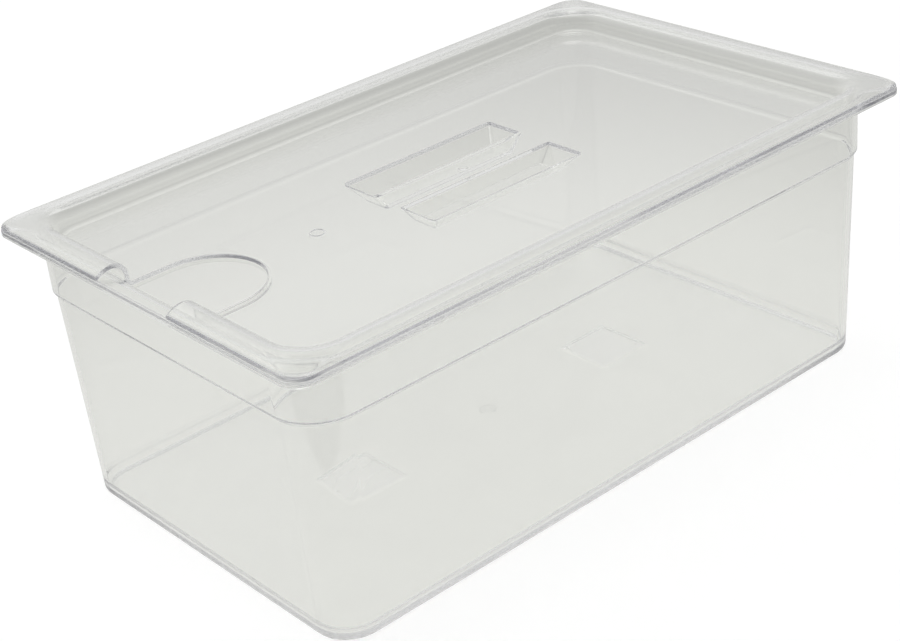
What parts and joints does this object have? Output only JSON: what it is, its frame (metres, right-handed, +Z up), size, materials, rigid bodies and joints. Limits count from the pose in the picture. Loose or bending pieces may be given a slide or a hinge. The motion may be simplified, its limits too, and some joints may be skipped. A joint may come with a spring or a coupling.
{
  "type": "food pan",
  "caption": "Clear full-size deep food pan with a flat rim, a stacking shoulder and a lift-off cover with a ladle notch and a moulded-in grip.",
  "frame": {"origin": "middle of the pan's flat underside", "axes": "+Z up; +X along the pan's length, away from the notched end of the cover; +Y across the width"},
  "size_m": [0.53, 0.325, 0.2062],
  "materials": {
    "pan": "clear polycarbonate, polished, fine handling scratches",
    "cover": "clear polycarbonate, polished, fine handling scratches"
  },
  "bodies": {
    "pan": {"pan": "pan"},
    "cover": {"cover": "cover"}
  },
  "joints": [
    {"name": "cover_lift", "type": "slide", "parent": "pan", "child": "cover", "axis": [0, 0, 1], "range_m": [0, 0.12]}
  ]
}
